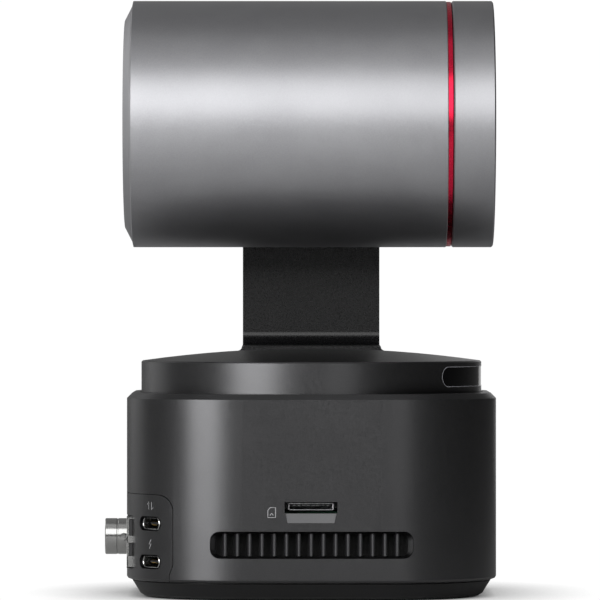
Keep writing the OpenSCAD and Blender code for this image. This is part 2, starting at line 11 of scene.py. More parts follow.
import bmesh
import bpy
import numpy as np
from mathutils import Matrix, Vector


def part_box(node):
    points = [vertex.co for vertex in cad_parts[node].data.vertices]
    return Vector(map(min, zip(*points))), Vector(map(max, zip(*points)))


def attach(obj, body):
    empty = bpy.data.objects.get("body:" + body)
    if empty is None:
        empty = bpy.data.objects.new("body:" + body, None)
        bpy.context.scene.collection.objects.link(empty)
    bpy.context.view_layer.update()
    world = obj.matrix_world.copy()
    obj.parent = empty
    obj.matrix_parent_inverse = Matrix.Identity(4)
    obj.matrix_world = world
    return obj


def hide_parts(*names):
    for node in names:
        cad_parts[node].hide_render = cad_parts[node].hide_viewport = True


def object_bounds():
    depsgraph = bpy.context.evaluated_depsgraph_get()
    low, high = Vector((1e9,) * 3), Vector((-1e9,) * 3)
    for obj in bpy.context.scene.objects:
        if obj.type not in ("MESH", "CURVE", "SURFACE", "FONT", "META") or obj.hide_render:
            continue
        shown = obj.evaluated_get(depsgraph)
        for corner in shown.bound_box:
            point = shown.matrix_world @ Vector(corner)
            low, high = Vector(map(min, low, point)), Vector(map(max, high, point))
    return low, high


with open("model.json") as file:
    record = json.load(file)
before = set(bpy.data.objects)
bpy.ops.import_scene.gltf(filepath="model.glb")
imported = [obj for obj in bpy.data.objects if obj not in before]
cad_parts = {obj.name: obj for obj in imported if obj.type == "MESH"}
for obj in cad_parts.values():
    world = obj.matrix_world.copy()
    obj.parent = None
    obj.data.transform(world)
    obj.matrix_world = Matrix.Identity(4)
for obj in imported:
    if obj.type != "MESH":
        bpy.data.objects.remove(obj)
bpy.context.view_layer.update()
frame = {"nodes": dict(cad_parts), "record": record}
MM = 0.001

# %% [markdown]
# ## Colour and shader helpers
# Colours are written the way a paint chart gives them, as sRGB hex, but shaders work in
# linear light, so one function turns the first into the second. A second small function
# adds any shader node: its settings are attributes, and its inputs are either plain
# values or other nodes' outputs, which become links.

# %% Helpers for materials
def linear(hex_colour):
    """sRGB hex to linear RGBA: c/12.92 below 0.04045, else ((c + 0.055) / 1.055) to the power 2.4."""
    channels = [int(hex_colour[i:i + 2], 16) / 255 for i in (1, 3, 5)]
    return [c / 12.92 if c <= 0.04045 else ((c + 0.055) / 1.055) ** 2.4 for c in channels] + [1.0]


def add_node(tree, kind, inputs=None, **settings):
    """Adds one shader node, sets its attributes, and sets or links each named or numbered input."""
    made = tree.nodes.new(kind)
    for key, value in settings.items():
        setattr(made, key, value)
    for key, value in (inputs or {}).items():
        if isinstance(value, bpy.types.NodeSocket):
            tree.links.new(value, made.inputs[key])
        else:
            made.inputs[key].default_value = value
    return made


def new_material(name):
    """An empty node material with its Principled shader already joined to the output."""
    material = bpy.data.materials.new(name)
    material.use_nodes = True
    tree = material.node_tree
    tree.nodes.clear()
    shader = add_node(tree, "ShaderNodeBsdfPrincipled")
    add_node(tree, "ShaderNodeOutputMaterial", {"Surface": shader.outputs["BSDF"]})
    return material, tree, shader


# %% [markdown]
# ## One recipe for grained surfaces
# Anodising, satin paint and moulded plastic differ in colour and gloss, but all three
# have the same kind of unevenness: a fine grain from blasting or from the mould, and a
# slow drift in tone over a few centimetres. So one recipe makes them all, from two
# colours and a few real sizes. The grain is far finer than the render can show, so it is
# drawn a little coarser than the real 0.1 mm.

# %% The grain recipe
TONE_LOW, TONE_HIGH = 0.7, 1.3
GRAIN_LOW, GRAIN_HIGH = 0.3, 0.7


def grained(name, dark, light, metallic, roughness, grain_mm=0.35, bump_mm=0.004, drift_mm=18.0,
            rough_spread=0.05, ior=1.5):
    """Two close colours mixed by fine grain plus slow drift; the grain also lifts the surface a little."""
    material, tree, shader = new_material(name)
    place = add_node(tree, "ShaderNodeTexCoord").outputs["Object"]
    grain = add_node(tree, "ShaderNodeTexNoise",
                     {"Vector": place, "Scale": 1 / (grain_mm * MM), "Detail": 2.0, "Roughness": 0.6})
    drift = add_node(tree, "ShaderNodeTexNoise",
                     {"Vector": place, "Scale": 1 / (drift_mm * MM), "Detail": 3.0, "Roughness": 0.5})
    blend = add_node(tree, "ShaderNodeMath", {0: grain.outputs["Fac"], 1: drift.outputs["Fac"]},
                     operation="ADD")
    tone = add_node(tree, "ShaderNodeMapRange",
                    {"Value": blend.outputs[0], "From Min": TONE_LOW, "From Max": TONE_HIGH})
    colour = add_node(tree, "ShaderNodeMix",
                      {"Factor": tone.outputs["Result"], 6: linear(dark), 7: linear(light)}, data_type="RGBA")
    gloss = add_node(tree, "ShaderNodeMapRange",
                     {"Value": grain.outputs["Fac"], "From Min": GRAIN_LOW, "From Max": GRAIN_HIGH,
                      "To Min": roughness - rough_spread, "To Max": roughness + rough_spread})
    bump = add_node(tree, "ShaderNodeBump",
                    {"Height": grain.outputs["Fac"], "Distance": bump_mm * MM, "Strength": 1.0})
    tree.links.new(colour.outputs[2], shader.inputs["Base Color"])
    tree.links.new(gloss.outputs["Result"], shader.inputs["Roughness"])
    tree.links.new(bump.outputs["Normal"], shader.inputs["Normal"])
    shader.inputs["Metallic"].default_value = metallic
    if metallic < 1:
        shader.inputs["IOR"].default_value = ior
    return material


# %% [markdown]
# ## Glass with a coating
# Lens glass is clear, and what makes it look like a lens is its anti-reflection coating, a
# film a few hundred nanometres thick that throws back a little violet or green. The shader
# has a thin film of its own, so only its real thickness has to be given. A slow noise
# changes the thickness by a tenth, as on a real coating, and adds the faintest smear.

# %% Coated glass
FILM_INDEX = 1.38
GLASS_INDEX = 1.52
SMEAR_MM = 15


def coated_glass(name, film_nm=340.0, uneven=0.1, smear=0.03):
    """Clear glass under a magnesium fluoride film: film_nm thick, give or take the uneven share of it."""
    material, tree, shader = new_material(name)
    place = add_node(tree, "ShaderNodeTexCoord").outputs["Object"]
    drift = add_node(tree, "ShaderNodeTexNoise",
                     {"Vector": place, "Scale": 1 / (SMEAR_MM * MM), "Detail": 2.0})
    film = add_node(tree, "ShaderNodeMapRange",
                    {"Value": drift.outputs["Fac"], "To Min": film_nm * (1 - uneven),
                     "To Max": film_nm * (1 + uneven)})
    gloss = add_node(tree, "ShaderNodeMapRange", {"Value": drift.outputs["Fac"], "To Max": smear})
    tree.links.new(film.outputs["Result"], shader.inputs["Thin Film Thickness"])
    tree.links.new(gloss.outputs["Result"], shader.inputs["Roughness"])
    shader.inputs["Thin Film IOR"].default_value = FILM_INDEX
    shader.inputs["Transmission Weight"].default_value = 1.0
    shader.inputs["IOR"].default_value = GLASS_INDEX
    shader.inputs["Base Color"].default_value = linear("#f7fafd")
    return material


# %% [markdown]
# ## The finishes
# Each one is named for what it is on the real camera. A metal's look is nearly all in its
# roughness, because everything it shows is a reflection, and a plastic's is in its colour,
# because most of its light comes back from inside.

# %% Metals and plastics
finishes = {
    # Blasted before it is anodised, so a lamp spreads along it as one broad soft band.
    "head_anodised": grained("bead_blasted_anodised_aluminium", "#9a9a9d", "#a6a6a9", 1.0, 0.42),
    # Metal flake in the paint makes a grey that is bright towards a lamp and dark away from it.
    "base_paint": grained("satin_grey_painted_metal", "#4b4b4c", "#515152", 1.0, 0.34),
    # Powder melts into a smooth dark skin, so the arm is black with a low sheen.
    "arm_paint": grained("satin_black_powder_coat", "#0c0c0d", "#121213", 0.0, 0.27, bump_mm=0.0015),
    # Polished before it is dyed, so the thin line keeps a sharp glint.
    "red_anodised": grained("polished_red_anodised_aluminium", "#c8203c", "#d62a48", 1.0, 0.25,
                            bump_mm=0.001),
    # An etched mould takes the gloss off, and the foot sinks into its own shadow.
    "foot_plastic": grained("matt_black_abs", "#080809", "#0c0c0d", 0.0, 0.5, ior=1.4),
    # Open cells catch nearly all the light, and their edges leave a coarse speckle.
    "filter_foam": grained("open_cell_filter_foam", "#070707", "#101010", 0.0, 0.9, grain_mm=0.8,
                           bump_mm=0.2),
    # Rubber has no highlight to speak of, only a dusty grey.
    "rubber": grained("black_rubber", "#121212", "#191919", 0.0, 0.8),
    # Cast acrylic is flat and glossy, so the window reads as a black mirror.
    "window_acrylic": grained("black_gloss_acrylic", "#030304", "#050506", 0.0, 0.12, bump_mm=0.0,
                              rough_spread=0.02, ior=1.3),
    # Moulded plastics keep the fine texture of their moulds, each with its own gloss.
    "vent_plastic": grained("moulded_black_abs", "#242426", "#2c2c2e", 0.0, 0.45),
    "button_plastic": grained("moulded_satin_abs", "#2a2a2c", "#303033", 0.0, 0.4),
    "connector_plastic": grained("glass_filled_nylon", "#141415", "#1d1d1f", 0.0, 0.5),
    "bezel_plastic": grained("matt_black_polycarbonate", "#0c0c0d", "#131314", 0.0, 0.5),
    "white_insulator": grained("white_ptfe", "#e6e4dc", "#f2f0ea", 0.0, 0.45),
    # The window's bead is a painted highlight: opaque pale grey where the window's edge catches light, seen
    # as a pale line. Ink is seen as pale lines too, so both need a tone more than a depth.
    "painted_rim_highlight": grained("pale_painted_highlight_bead", "#8a8a90", "#a0a0a6", 0.0, 0.15,
                           bump_mm=0.0),
    "grey_ink": grained("grey_pad_printing_ink", "#8a8a8c", "#969698", 0.0, 0.5, bump_mm=0.0),
    "coated_glass": coated_glass("coated_optical_glass"),
    # Plating copies the polished metal under it, so it mirrors with hard edges.
    "nickel": grained("bright_nickel_plate", "#a9a9a8", "#bcbcba", 1.0, 0.2, bump_mm=0.001),
    "gold_contact": grained("gold_plate", "#d8ae4e", "#e4bc60", 1.0, 0.2),
    # Cutting and grinding leave fine marks, which soften the reflection a little.
    "steel": grained("ground_steel", "#a0a0a2", "#b4b4b6", 1.0, 0.3),
    "bare_aluminium": grained("machined_aluminium", "#b4b4b6", "#c4c4c6", 1.0, 0.35),
    "brass": grained("turned_brass", "#b89a55", "#c8aa62", 1.0, 0.28),
    # Varnish over fine wire dulls the copper to a deep orange.
    "copper_winding": grained("varnished_copper_wire", "#9a5428", "#b06a36", 1.0, 0.35),
    # The mask is a thin green lacquer, shiny enough to show the board's edge.
    "circuit_board": grained("green_solder_mask", "#143a28", "#1a4a33", 0.0, 0.35),
}
slot_of = {part["node"]: part["material_slot"] for part in frame["record"]["subparts"]}
for node_name, node in frame["nodes"].items():
    node.data.materials.clear()
    node.data.materials.append(finishes[slot_of[node_name]])
print(len(finishes), "finishes")

# %% [markdown]
# ## Surfaces from numpy
# Every new piece below is a grid of points worked out by a formula, as whole arrays. One
# function joins the grid's neighbours into four-sided faces, and another hands a list of
# such grids to Blender as one mesh. Doubled points at seams and poles are merged, and the
# faces are then turned outwards.

# %% Grids into meshes
def grid_faces(rows, cols, close_rows=False, close_cols=False):
    """Quads between neighbours of a rows by cols grid: (r, c), (r, c+1), (r+1, c+1), (r+1, c)."""
    r = np.arange(rows if close_rows else rows - 1)[:, None]
    c = np.arange(cols if close_cols else cols - 1)[None, :]
    r1, c1 = (r + 1) % rows, (c + 1) % cols
    return np.stack([r * cols + c, r * cols + c1, r1 * cols + c1, r1 * cols + c], axis=-1).reshape(-1, 4)


def make_piece(name, grids, slot, body, replaces=(), finish=None, bevel_mm=0.0, smooth_deg=35, merge=True):
    """Joins (points, faces) grids in millimetres into one mesh object that rides on a CAD body. The
    finish is the slot's own unless another is named. With merge off, bars that touch keep their own
    corners, so that each stays a closed solid."""
    points, faces, start = [], [], 0
    for grid_points, faces_of_grid in grids:
        flat = np.asarray(grid_points, dtype=float).reshape(-1, 3)
        points.append(flat)
        faces += [tuple(face) for face in (np.asarray(faces_of_grid) + start).tolist()]
        start += len(flat)
    mesh = bpy.data.meshes.new(name)
    mesh.from_pydata((np.concatenate(points) * MM).tolist(), [], faces)
    work = bmesh.new()
    work.from_mesh(mesh)
    if merge:
        bmesh.ops.remove_doubles(work, verts=work.verts, dist=1e-7)
    bmesh.ops.dissolve_degenerate(work, edges=work.edges, dist=1e-7)
    bmesh.ops.recalc_face_normals(work, faces=work.faces)
    work.to_mesh(mesh)
    work.free()
    mesh.materials.append(finishes[finish or slot])
    piece = bpy.data.objects.new(name, mesh)
    bpy.context.scene.collection.objects.link(piece)
    mesh.shade_smooth()
    mesh.set_sharp_from_angle(angle=math.radians(smooth_deg))
    if bevel_mm:
        bevel = piece.modifiers.new("edge_round", "BEVEL")
        bevel.width, bevel.segments, bevel.limit_method = bevel_mm * MM, 2, "ANGLE"
        bevel.harden_normals = True
    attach(piece, body)
    if replaces:
        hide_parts(*replaces)
    print(name, len(mesh.polygons), "faces on", body)
    return piece


# %% Rounds, loops and bars
def revolve(profile, origin, axis="x", turns=96):
    """Carries (along, radius) pairs round an axis: along*axis + radius*(cos t, sin t) across it."""
    along, radius = np.array(profile, dtype=float).T[:, :, None]
    t = np.linspace(0, 2 * np.pi, turns, endpoint=False)[None, :]
    across, up, line = radius * np.cos(t), radius * np.sin(t), along + 0 * t
    order = {"x": (line, across, up), "y": (across, line, up), "z": (across, up, line)}[axis]
    return np.stack(order, axis=-1) + np.array(origin), grid_faces(len(profile), turns, close_cols=True)


def round_loop(width, height, radius, corner_steps=8):
    """A rounded rectangle as points: four quarter circles of the radius, joined by straight runs."""
    radius = min(radius, width / 2 - 1e-6, height / 2 - 1e-6)
    t = np.linspace(0, np.pi / 2, corner_steps + 1)[None, :] + np.arange(4)[:, None] * np.pi / 2
    middle = np.array([[1, 1], [-1, 1], [-1, -1], [1, -1]]) * [width / 2 - radius, height / 2 - radius]
    return (middle[:, None, :] + radius * np.stack([np.cos(t), np.sin(t)], axis=-1)).reshape(-1, 2)


def loft(loops, place, closed=False):
    """Joins (width, height, radius, depth) rounded rectangles; place turns (across, up, depth) to x, y, z."""
    rings = []
    for width, height, radius, depth in loops:
        flat = round_loop(width, height, radius)
        rings.append(place(np.column_stack([flat, np.full(len(flat), float(depth))])))
    points = np.stack(rings)
    count = points.shape[1]
    grids = [(points, grid_faces(len(loops), count, close_rows=closed, close_cols=True))]
    if not closed:
        grids += [(points[k], [tuple(range(count))]) for k in (0, -1)]
    return grids


def bar(low, high):
    """A box between two corners, as eight points and six faces; its edges are rounded afterwards."""
    low, high = np.array(low, dtype=float), np.array(high, dtype=float)
    pick = np.array([[i, j, k] for i in (0, 1) for j in (0, 1) for k in (0, 1)])
    faces = [(0, 1, 3, 2), (4, 6, 7, 5), (0, 4, 5, 1), (2, 3, 7, 6), (0, 2, 6, 4), (1, 5, 7, 3)]
    return low + pick * (high - low), faces


# %% [markdown]
# ## Where the walls are
# The base is a square with round corners, so a point on its wall is found from how far
# one walks along the wall. These sizes are the CAD model's own, read back from its box
# wherever the box gives them.

# %% The base's wall as a function
box = {name: np.array([list(c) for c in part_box(name)]) / MM for name in frame["nodes"]}
WALL = -box["base_shell"][0, 1]
CORNER = 31.0
FLAT = WALL - CORNER
TILT_Z = box["front_ring"][:, 2].mean()
HEAD_R = np.ptp(box["front_ring"][:, 2]) / 2
TABLE_R = box["turntable_shell"][1, 0]


def wall_at(x):
    """Distance of the side wall from the middle at x: flat, then the corner's circle."""
    past = np.clip(np.abs(x) - FLAT, 0, CORNER)
    return FLAT + np.sqrt(CORNER ** 2 - past ** 2)


def along_wall(walk, height, lift=0.0):
    """A point a given walk along the camera-side wall: straight, then round the corner's arc."""
    turn = np.clip(np.abs(walk) - FLAT, 0, None) / CORNER
    x = np.sign(walk) * (np.minimum(np.abs(walk), FLAT) + (CORNER + lift) * np.sin(turn))
    y = -(FLAT + (CORNER + lift) * np.cos(turn))
    return np.stack([x, y, height + 0 * x], axis=-1)


print("wall at", WALL, "mm, head radius", round(HEAD_R, 2), "mm, tilt axis at", round(TILT_Z, 2), "mm")

# %% [markdown]
# ## The vents
# Each vent is a long opening with sloped walls, and behind it stand louvres with rounded
# noses that lean back. A louvre could be a stretched cube, but its rounded nose is what
# catches the light, so its section is a slot shape with half-round ends, carried upwards.

# %% Vents on both sides
VENT_W, VENT_H, VENT_R, VENT_DEPTH = 53.2, 7.1, 2.5, 4.0
VENT_Z = box["vent_grille_right"][:, 2].mean()
VENT_GAP, VENT_CHAMFER = 0.06, 0.2
THROAT_IN, THROAT_DOWN, THROAT_R, THROAT_DEPTH = 2.9, 1.0, 1.7, 1.5
LOUVRES, PITCH = 15, 3.215
LOUVRE_W, LOUVRE_LONG, LOUVRE_ROUND, LOUVRE_SET = 0.9, 3.4, 0.2, 1.0
LOUVRE_SHORT = 0.5
LEAN = math.radians(8)


def vent_surround(side):
    """Sloped walls: each loop is narrower and deeper than the last, and bends with the wall."""
    def place(ring):
        y = side * (wall_at(ring[:, 0]) - ring[:, 2])
        return np.column_stack([ring[:, 0], y, ring[:, 1] + VENT_Z])
    outer = (VENT_W - VENT_GAP, VENT_H - VENT_GAP, VENT_R)
    mouth = (VENT_W - VENT_CHAMFER, VENT_H - VENT_CHAMFER, VENT_R - 0.05)
    throat = (VENT_W - THROAT_IN, VENT_H - THROAT_DOWN, THROAT_R)
    loops = [(*outer, VENT_DEPTH), (*outer, 0.25), (*mouth, 0.1), (*throat, THROAT_DEPTH),
             (*throat, VENT_DEPTH)]
    return loft(loops, place, closed=True)


def louvre(x, side):
    """A slot-shaped section, 0.9 by 3.4 mm, leaning back by 8 degrees, carried up with round ends."""
    def place(ring):
        across, back = ring[:, 0], LOUVRE_LONG / 2 - ring[:, 1]
        px = x + across * math.cos(LEAN) - back * math.sin(LEAN)
        depth = back * math.cos(LEAN) + across * math.sin(LEAN) + LOUVRE_SET
        return np.column_stack([px, side * (wall_at(x) - depth), VENT_Z + ring[:, 2]])
    top = VENT_H / 2 - LOUVRE_SHORT
    full = (LOUVRE_W, LOUVRE_LONG, LOUVRE_W / 2)
    tip = (LOUVRE_W - 2 * LOUVRE_ROUND, LOUVRE_LONG - 2 * LOUVRE_ROUND, LOUVRE_W / 2 - LOUVRE_ROUND)
    loops = [(*tip, -top), (*full, LOUVRE_ROUND - top), (*full, top - LOUVRE_ROUND), (*tip, top)]
    return loft(loops, place)


louvre_xs = (np.arange(LOUVRES) - (LOUVRES - 1) / 2) * PITCH
for side, word in ((-1, "right"), (1, "left")):
    make_piece(f"vent_surround_{word}", vent_surround(side), "base_paint", "base")
    fins = [grid for x in louvre_xs for grid in louvre(x, side)]
    make_piece(f"vent_louvres_{word}", fins, "vent_plastic", "base", replaces=[f"vent_grille_{word}"])

# %% [markdown]
# ## The BNC jack
# A turned brass barrel, plated with nickel, with two lugs for the plug's bayonet. Turned
# parts are the easiest of all: draw half the section once and carry it round the axis.

# %% The jack's barrel and lugs
BNC_Z, BNC_R, BNC_BORE, BNC_MOUTH = 14.8, 4.83, 4.06, 4.62
BNC_TIP = box["bnc_body"][0, 0]
GROOVE_AT, GROOVE_R = -52.3, 4.7
NUT_FRONT, NUT_BACK, NUT_R = -49.3, -47.2, 5.5
BORE_STEP, SLEEVE_END, SLEEVE_R = -46.6, -38, 4.9
LUG_AT, LUG_R, LUG_HEIGHT, LUG_START = -50.3, 1.05, 1.3, 4.5
barrel = [(BORE_STEP, BNC_BORE), (BNC_TIP + 0.25, BNC_BORE), (BNC_TIP, 4.3), (BNC_TIP, BNC_MOUTH),
          (BNC_TIP + 0.2, BNC_R), (GROOVE_AT, BNC_R), (GROOVE_AT + 0.15, GROOVE_R),
          (GROOVE_AT + 0.35, GROOVE_R), (GROOVE_AT + 0.5, BNC_R), (NUT_FRONT, BNC_R),
          (NUT_FRONT, NUT_R - 0.1), (NUT_FRONT + 0.15, NUT_R), (NUT_BACK - 0.2, NUT_R),
          (NUT_BACK, SLEEVE_R), (SLEEVE_END, SLEEVE_R), (SLEEVE_END, BNC_BORE)]
lug = [(0, 0), (0, LUG_R), (LUG_HEIGHT - 0.3, LUG_R), (LUG_HEIGHT - 0.05, LUG_R - 0.2),
       (LUG_HEIGHT, 0.0)]
lugs = []
for side in (-1, 1):
    points, faces = revolve(lug, (0, 0, 0), "y", 24)
    points[..., 1] = side * (points[..., 1] + LUG_START)
    lugs.append((points + [LUG_AT, 0, BNC_Z], faces))
make_piece("bnc_barrel", [revolve(barrel + barrel[:1], (0, 0, BNC_Z)), *lugs], "nickel", "base",
           replaces=["bnc_body"])

# %% [markdown]
# ## The network socket's shield
# A folded sheet of plated steel with spring windows in its sides. Its near side stands
# out of the round corner, so the two windows and the bar between them show.

# %% Folded shield with windows
lo, hi = box["rj45_shield"]
SHEET, EDGE_BAR, BACK_PANEL = 0.4, 0.35, 5.5
near, far = lo[1], hi[1]
strip_levels = [(hi[2] - 0.7, hi[2]), (hi[2] - 7.0, hi[2] - 5.2), (lo[2], lo[2] + 3.1)]
shield = [bar((lo[0], near, z0), (hi[0], near + SHEET, z1)) for z0, z1 in strip_levels]
shield += [bar(lo, (lo[0] + EDGE_BAR, near + SHEET, hi[2])),
           bar((lo[0] + BACK_PANEL, near, lo[2]), (hi[0], near + SHEET, hi[2])),
           bar((lo[0], near, hi[2] - SHEET), hi),
           bar(lo, (hi[0], far, lo[2] + SHEET)),
           bar((lo[0], far - SHEET, lo[2]), hi),
           bar((hi[0] - SHEET, near, lo[2]), hi)]
make_piece("network_shield", shield, "nickel", "base", replaces=["rj45_shield"], bevel_mm=0.08,
           merge=False)

# %% Eight gold springs in the network socket
SPRINGS, SPRING_PITCH, SPRING_W, SPRING_T, SPRING_RISE = 8, 1.02, 0.4, 0.3, 8.6
SPRING_FRONT, SPRING_BACK, SOCKET_Y = -48.0, -37.5, -20.0
spring_ys = SOCKET_Y + (np.arange(SPRINGS) - (SPRINGS - 1) / 2) * SPRING_PITCH
springs = [bar((SPRING_FRONT, y - SPRING_W / 2, lo[2] + SPRING_RISE),
               (SPRING_BACK, y + SPRING_W / 2, lo[2] + SPRING_RISE + SPRING_T)) for y in spring_ys]
make_piece("network_contacts", springs, "gold_contact", "base", bevel_mm=0.08)

# %% [markdown]
# ## The USB-C sockets
# A drawn steel tube with a rolled lip. Its outline is a slot shape, so rounded rectangles
# of full radius are joined from the back, over the lip and down the inside.

# %% Shells, tongues and contacts
USB_W, USB_H, USB_LEN, USB_WALL = 8.94, 3.26, 7.3, 0.35
USB_FACE = math.radians(60)
TONGUE_W, TONGUE_T = 6.6, 0.7
PADS, PAD_PITCH, PAD_W, PAD_T, PAD_OFF = 12, 0.5, 0.26, 0.06, 0.37
PAD_START, PAD_END = 2.0, 5.0
usb_out = np.array([-math.sin(USB_FACE), -math.cos(USB_FACE), 0])
usb_across = np.array([math.cos(USB_FACE), -math.sin(USB_FACE), 0])
usb_box = box["usb_shells"]
usb_middle = usb_box.mean(axis=0)
usb_levels = [usb_box[1, 2] - USB_H / 2, usb_box[0, 2] + USB_H / 2]


def usb_place(level):
    """Turns (across, up, depth) in a socket's own frame into the base's x, y, z."""
    mouth = np.array([usb_middle[0], usb_middle[1], level]) + usb_out * USB_LEN / 2

    def place(ring):
        return mouth + ring[:, :1] * usb_across + ring[:, 1:2] * [0, 0, 1] - ring[:, 2:3] * usb_out
    return place


def usb_shell(put):
    """Out from the back, over the lip's three narrowing loops, and down the inside to the floor."""
    outer = (USB_W, USB_H, USB_H / 2)
    inner = (USB_W - 2 * USB_WALL, USB_H - 2 * USB_WALL, USB_H / 2 - USB_WALL)
    floor_depth = USB_LEN - 0.8
    return loft([(*outer, USB_LEN), (*outer, 0.15), (USB_W - 0.25, USB_H - 0.25, 1.5, 0.0),
                 (USB_W - 0.55, USB_H - 0.55, 1.35, 0.12), (*inner, 0.5), (*inner, floor_depth),
                 (0.5, 0.2, 0.1, floor_depth)], put)


def usb_pad(put, place_in_row, face):
    """One gold pad: a thin bar, a whole number of pitches along the row, on either face of the tongue."""
    across, up = (place_in_row - (PADS - 1) / 2) * PAD_PITCH, face * PAD_OFF
    points, faces = bar((across - PAD_W / 2, up - PAD_T / 2, PAD_START),
                        (across + PAD_W / 2, up + PAD_T / 2, PAD_END))
    return put(points), faces


shells, tongues, contacts = [], [], []
for level in usb_levels:
    put = usb_place(level)
    shells += usb_shell(put)
    tongue = (TONGUE_W, TONGUE_T, 0.3)
    tongues += loft([(TONGUE_W - 0.4, TONGUE_T - 0.3, 0.2, 1.6), (*tongue, 1.85),
                     (*tongue, USB_LEN - 0.9)], put)
    contacts += [usb_pad(put, k, face) for face in (-1, 1) for k in range(PADS)]
make_piece("usb_socket_shells", shells, "nickel", "base", replaces=["usb_shells"])
make_piece("usb_socket_tongues", tongues, "connector_plastic", "base", replaces=["usb_tongues"])
make_piece("usb_contacts", contacts, "gold_contact", "base")

# %% [markdown]
# ## The memory card socket
# A stamped steel cage with a folded lip, and the eight springs that press on the card.

# %% Card cage and springs
CAGE_T, CAGE_SIDE = 0.25, 0.4
LIP_START, LIP_END, LIP_OUT, LIP_T = 1.2, 4.6, 0.5, 0.2
CARD_SPRINGS, CARD_SPRING_W, CARD_SPRING_IN = 8, 0.7, 1.6
lo, hi = box["card_socket"]
lip_back, lip_top = lo[1], lo[2] + LIP_T
cage = [bar((lo[0], lo[1], hi[2] - CAGE_T), hi),
        bar(lo, (hi[0], hi[1], lo[2] + CAGE_T)),
        bar(lo, (lo[0] + CAGE_SIDE, hi[1], hi[2])),
        bar((hi[0] - CAGE_SIDE, lo[1], lo[2]), hi),
        bar((lo[0] + LIP_START, lip_back - LIP_OUT, lo[2]), (lo[0] + LIP_END, lip_back, lip_top)),
        bar((hi[0] - LIP_END, lip_back - LIP_OUT, lo[2]), (hi[0] - LIP_START, lip_back, lip_top))]
make_piece("card_cage", cage, "steel", "base", replaces=["card_socket"], bevel_mm=0.06, merge=False)
card_spring_xs = np.linspace(lo[0] + CARD_SPRING_IN, hi[0] - CARD_SPRING_IN, CARD_SPRINGS)
card_springs = [bar((x - CARD_SPRING_W / 2, lo[1] + 1.2, hi[2] - 0.75),
                    (x + CARD_SPRING_W / 2, lo[1] + 6, hi[2] - 0.55)) for x in card_spring_xs]
make_piece("card_springs", card_springs, "steel", "base", bevel_mm=0.05)

# %% [markdown]
# ## Port symbols
# Printed marks are thin strokes. Each stroke is a ribbon of the given width on either side
# of its points, laid on the wall just under a hundredth of a millimetre proud, and each is
# a plain generic sign: a card outline, two arrows, and a bolt.

# %% Strokes on the wall
INK = 0.008
CARD_STROKE, ARROW_STROKE, BOLT_STROKE = 0.22, 0.17, 0.24


def stroke(path, width, closed=False):
    """A ribbon with walls: its edges are the path plus and minus half the width along its normal."""
    path = np.array(path, dtype=float)
    if closed:
        step = np.roll(path, -1, 0) - np.roll(path, 1, 0)
    else:
        step = np.gradient(path, axis=0)
    normal = np.column_stack([-step[:, 1], step[:, 0]]) / np.linalg.norm(step, axis=1)[:, None]
    left, right = path + normal * width / 2, path - normal * width / 2
    ring = [along_wall(edge[:, 0], edge[:, 1], lift) for edge, lift in
            ((left, -INK), (left, INK), (right, INK), (right, -INK))]
    points = np.stack(ring, axis=1)
    grids = [(points, grid_faces(len(path), 4, close_rows=closed, close_cols=True))]
    if not closed:
        grids += [(points[0], [(0, 1, 2, 3)]), (points[-1], [(3, 2, 1, 0)])]
    return grids


def walk_of(x):
    """How far along the wall a point at x lies: x on the flat, then the corner's arc length."""
    if abs(x) <= FLAT:
        return x
    return math.copysign(FLAT + CORNER * math.asin((abs(x) - FLAT) / CORNER), x)


def moved(shape, walk, height):
    """A sign's points, moved to its place on the wall."""
    return [(walk + a, height + b) for a, b in shape]


# %% The card, the arrows and the bolt
CARD_SIGN_AT = (-10.45, 22.9)
ABOVE_SOCKET, BESIDE_SOCKET, ARROW_GAP = 4.7, 0.3, 0.62
outline = [(1.0, -1.3), (-1.0, -1.3), (-1.0, 0.55), (-0.35, 1.3), (1.0, 1.3)]
notch = [(-0.45, -0.75), (0, -0.2), (0.45, -0.75)]
bolt = [(0.35, 1.2), (-0.5, -0.1), (0.4, 0.1), (-0.35, -1.2)]
marks = stroke(moved(outline, *CARD_SIGN_AT), CARD_STROKE, closed=True)
marks += stroke(moved(notch, *CARD_SIGN_AT), CARD_STROKE)
sign_walk = walk_of(usb_middle[0] + usb_out[0] * USB_LEN / 2) - BESIDE_SOCKET
for way in (-1, 1):
    arrow = [(way * 0.7, way * -0.35), (0, way * -1.1), (0, way * 1.0)]
    marks += stroke(moved(arrow, sign_walk + way * ARROW_GAP, usb_levels[0] + ABOVE_SOCKET), ARROW_STROKE)
marks += stroke(moved(bolt, sign_walk, usb_levels[1] + ABOVE_SOCKET), BOLT_STROKE)
make_piece("port_symbols", marks, "white_insulator", "base", finish="grey_ink")

# %% [markdown]
# ## The status window's painted rim highlight
# A thin pale grey bead runs round the black window. It is a painted highlight that stands for the light
# caught by the window's edge.
# It is a fine round bead, carried along the slot-shaped edge and wrapped onto the rim's circle.

# %% Bead round the window
WINDOW_R, WINDOW_Z, WINDOW_END_R = 2.62, 58.0, 2.7
WINDOW_SWEEP = math.radians(41)
BEAD_R, BEAD_SUNK, BEAD_FLAT = 0.11, 0.03, 0.6


